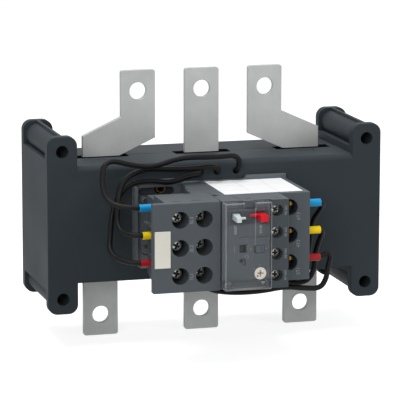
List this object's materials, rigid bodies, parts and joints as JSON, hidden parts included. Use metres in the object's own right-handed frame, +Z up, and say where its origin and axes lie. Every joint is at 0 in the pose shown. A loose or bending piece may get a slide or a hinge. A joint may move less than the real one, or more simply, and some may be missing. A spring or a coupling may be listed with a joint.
{
  "type": "thermal overload relay",
  "caption": "Thermal overload relay for large motors: current-transformer housing with three busbars, carrying a relay module, terminal block and six leads.",
  "frame": {"origin": "centre of the four panel holes, on the rear mounting plane", "axes": "+X right, seen from the front; +Y to the back, into the panel; +Z up, along the busbars"},
  "size_m": [0.179, 0.127, 0.1398],
  "materials": {
    "housing_slate": "fine grain moulded",
    "relay_grey": "fine grain moulded",
    "terminal_dark": "fine grain moulded",
    "tinned_copper": "matt tin plate",
    "zinc_steel": "zinc plated",
    "spring_steel": "bright wire",
    "brass": "turned",
    "copper": "rolled copper",
    "core_steel": "laminated steel",
    "enamel_wire": "enamelled copper winding",
    "clear_cover": "clear polycarbonate",
    "reset_white": "moulded",
    "stop_red": "moulded",
    "dial_cream": "moulded",
    "selector_white": "moulded",
    "plunger_dark": "moulded",
    "tag_cream": "moulded",
    "mechanism_white": "moulded",
    "flag_yellow": "moulded",
    "bimetal": "rolled strip",
    "heater_tape": "glass-fibre tape",
    "contact_silver": "silvered spring strip",
    "lead_black": "smooth PVC",
    "sleeve_blue": "moulded",
    "sleeve_yellow": "moulded",
    "sleeve_red": "moulded"
  },
  "bodies": {
    "base": {"front_shell": "housing_slate", "rear_shell": "housing_slate", "shell_screws": "zinc_steel", "busbar_l1": "tinned_copper", "busbar_l2": "tinned_copper", "busbar_l3": "tinned_copper", "ct_core_1": "core_steel", "ct_core_2": "core_steel", "ct_core_3": "core_steel", "ct_winding_1": "enamel_wire", "ct_winding_2": "enamel_wire", "ct_winding_3": "enamel_wire", "mounting_bracket": "housing_slate", "bracket_screws": "zinc_steel", "brass_insert": "brass", "terminal_block_body": "relay_grey", "terminal_block_face": "relay_grey", "block_screws": "zinc_steel", "block_clamps": "zinc_steel", "block_bars": "brass", "link_pins": "tinned_copper", "marker_tag": "tag_cream", "relay_base": "relay_grey", "relay_front": "relay_grey", "reset_spring": "spring_steel", "stop_spring": "spring_steel", "aux_screws": "zinc_steel", "aux_clamps": "brass", "fixed_contacts": "brass", "contact_blades": "contact_silver", "power_screws": "zinc_steel", "power_clamps": "zinc_steel", "power_straps": "copper", "bimetal_1": "bimetal", "bimetal_2": "bimetal", "bimetal_3": "bimetal", "heater_sleeves": "heater_tape", "heater_straps": "copper", "lead_in_blue": "lead_black", "lead_in_yellow": "lead_black", "lead_in_red": "lead_black", "lead_out_blue": "lead_black", "lead_out_yellow": "lead_black", "lead_out_red": "lead_black", "sleeve_in_blue": "sleeve_blue", "sleeve_in_yellow": "sleeve_yellow", "sleeve_in_red": "sleeve_red", "sleeve_out_blue": "sleeve_blue", "sleeve_out_yellow": "sleeve_yellow", "sleeve_out_red": "sleeve_red", "ferrule_pins": "tinned_copper"},
    "cover": {"clear_cover": "clear_cover"},
    "reset": {"reset_button": "reset_white"},
    "stop": {"stop_button": "stop_red"},
    "dial": {"setting_dial": "dial_cream"},
    "selector": {"mode_selector": "selector_white"},
    "plunger": {"test_plunger": "plunger_dark"},
    "bar": {"trip_bar": "mechanism_white"},
    "lever": {"trip_lever": "mechanism_white"},
    "flag": {"trip_flag": "flag_yellow"}
  },
  "joints": [
    {"name": "cover_hinge", "type": "hinge", "parent": "base", "child": "cover", "pos_m": [-0.002, -0.122, -0.0216], "axis": [1, 0, 0], "range_deg": [0, 100]},
    {"name": "reset_press", "type": "slide", "parent": "base", "child": "reset", "axis": [0, 1, 0], "range_m": [0, 0.0025], "stiffness_N_per_m": 400, "springref_m": -0.002, "deforming": ["reset_spring"]},
    {"name": "stop_press", "type": "slide", "parent": "base", "child": "stop", "axis": [0, 1, 0], "range_m": [0, 0.0025], "stiffness_N_per_m": 400, "springref_m": -0.002, "deforming": ["stop_spring"]},
    {"name": "dial_turn", "type": "hinge", "parent": "base", "child": "dial", "pos_m": [0.006, -0.1185, -0.0174], "axis": [0, -1, 0], "range_deg": [-125, 125]},
    {"name": "selector_slide", "type": "slide", "parent": "base", "child": "selector", "axis": [-1, 0, 0], "range_m": [0, 0.0012]},
    {"name": "plunger_press", "type": "slide", "parent": "base", "child": "plunger", "axis": [0, 1, 0], "range_m": [0, 0.0015], "stiffness_N_per_m": 300, "springref_m": -0.001},
    {"name": "trip_bar_slide", "type": "slide", "parent": "base", "child": "bar", "axis": [0, 0, 1], "range_m": [0, 0.0015], "stiffness_N_per_m": 200, "springref_m": -0.0005},
    {"name": "trip_lever_turn", "type": "hinge", "parent": "base", "child": "lever", "pos_m": [-0.006, -0.1005, 0.0152], "axis": [0, -1, 0], "range_deg": [0, 10.4]},
    {"name": "trip_flag_slide", "type": "slide", "parent": "base", "child": "flag", "axis": [1, 0, 0], "range_m": [0, 0.00263]}
  ],
  "couplings": [
    {"joint": "trip_lever_turn", "follows": "trip_bar_slide", "rad_per_m": 120},
    {"joint": "trip_flag_slide", "follows": "trip_bar_slide", "ratio": 1.75}
  ]
}
